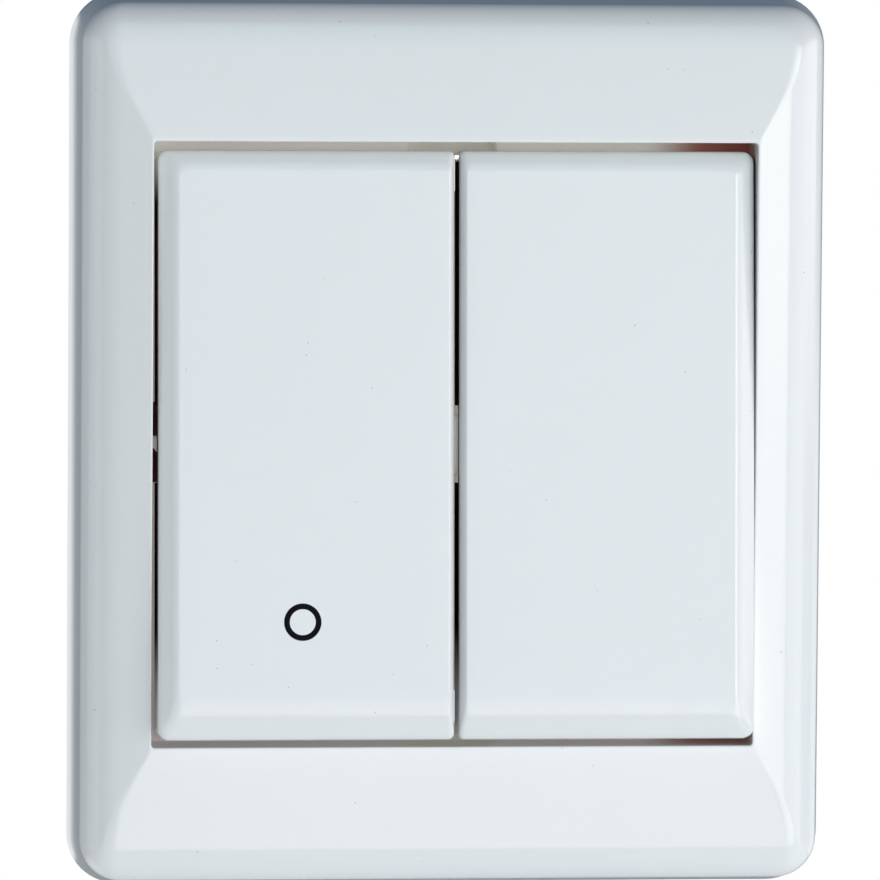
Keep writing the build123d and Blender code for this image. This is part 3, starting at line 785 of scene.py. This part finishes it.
floor_mesh = bpy.data.meshes.new("floor")
floor_half, floor_depth = 4.0, -0.75
floor_corners = [
    (x * floor_half, y * floor_half, floor_depth) for x, y in ((-1, -1), (1, -1), (1, 1), (-1, 1))
]
floor_mesh.from_pydata(floor_corners, [], [(0, 1, 2, 3)])
floor_mesh.materials.append(material("plain_floor", plain_floor))
floor = bpy.data.objects.new("floor", floor_mesh)
bpy.context.scene.collection.objects.link(floor)


def aimed(piece, azimuth, elevation, distance, target=Vector()):
    """Sets a lamp or camera on a bearing round the part, looking at a target. Azimuth 0 is in front and
    turns to the right."""
    a, e = radians(azimuth), radians(elevation)
    back = Vector((sin(a) * cos(e), -cos(a) * cos(e), sin(e)))
    piece.location = target + back * distance
    piece.rotation_euler = (-back).to_track_quat("-Z", "Y").to_euler()
    bpy.context.scene.collection.objects.link(piece)


# Bearing, height, width and height in degrees as the part sees them, watts and colour
soft_boxes = {
    "window_upper": (24, 4, 16, 14, 3.15, (1.0, 0.95, 0.88)),
    "window_lower": (24, -14, 16, 22, 3.4, (1.0, 0.97, 0.93)),
    "window_far": (50, -5, 30, 36, 5.2, (0.95, 0.98, 1.0)),
    "window_end": (80, 4, 34, 14, 3.1, (1.0, 0.86, 0.78)),
    "rim_right": (120, -14, 40, 22, 2.2, (0.86, 0.96, 1.0)),
    "front_upper": (6, 4, 14, 14, 1.15, (0.90, 0.95, 1.0)),
    "front_lower": (6, -14, 14, 22, 2.1, (0.97, 0.90, 1.0)),
    "sky": (6, 30, 14, 30, 1.4, (0.50, 0.98, 1.0)),
    "left_wall": (-75, -5, 40, 36, 3.9, (0.94, 1.0, 0.91)),
    "rim_left": (-120, -5, 40, 36, 2.1, (1.0, 0.89, 0.92)),
    "low_left": (-120, -50, 40, 40, 1.3, (0.96, 1.0, 0.88)),
    "low_right": (50, -50, 30, 40, 0.6, (0.25, 0.83, 1.0)),
    "back_fill": (180, 0, 10, 10, 7.0, (1.0, 0.93, 0.84)),
}
light_distance = 1.5
low_light_distance = 0.85
lowest_far_light = -30
for name, (azimuth, elevation, width, height, watts, colour) in soft_boxes.items():
    distance = light_distance if elevation > lowest_far_light else low_light_distance
    lamp = bpy.data.lights.new(name, "AREA")
    lamp.shape = "RECTANGLE"
    lamp.size = 2 * distance * tan(radians(width / 2))
    lamp.size_y = 2 * distance * tan(radians(height / 2))
    lamp.energy = watts
    lamp.color = colour
    aimed(bpy.data.objects.new(name, lamp), azimuth, elevation, distance)

world = bpy.data.worlds.new("studio")
world.use_nodes = True
world.node_tree.nodes.clear()
air = Socket(world.node_tree)
seen = air.node("Background", (), {"Color": (1.0, 1.0, 1.0, 1.0), "Strength": 1.0})
felt = air.node("Background", (), {"Color": (0.48, 0.65, 1.0, 1.0), "Strength": 0.17})
straight = air.node("LightPath", (), (), "Is Camera Ray")
both = air.node("MixShader", (), {0: straight, 1: felt, 2: seen})
air.node("OutputWorld", (), {"Surface": both})
bpy.context.scene.world = world
bpy.context.scene.view_settings.view_transform = "Standard"

# Camera
# A long lens a little to the left of the part and above it, as the photograph was taken.
photo_side = 880
focal_px = 8004.8
camera = bpy.data.objects.new("camera", bpy.data.cameras.new("camera"))
camera.data.sensor_width = 36.0
camera.data.lens = camera.data.sensor_width * focal_px / photo_side
camera.data.clip_start, camera.data.clip_end = 0.1, 20.0
camera_azimuth, camera_elevation, camera_roll = -6.053, 4.083, 0.414
camera_distance = 0.9
camera_target = Vector((-0.00081, 0.0, 0.0))
aimed(camera, camera_azimuth, camera_elevation, camera_distance, camera_target)
camera.rotation_euler.rotate_axis("Z", radians(camera_roll))
bpy.context.scene.camera = camera
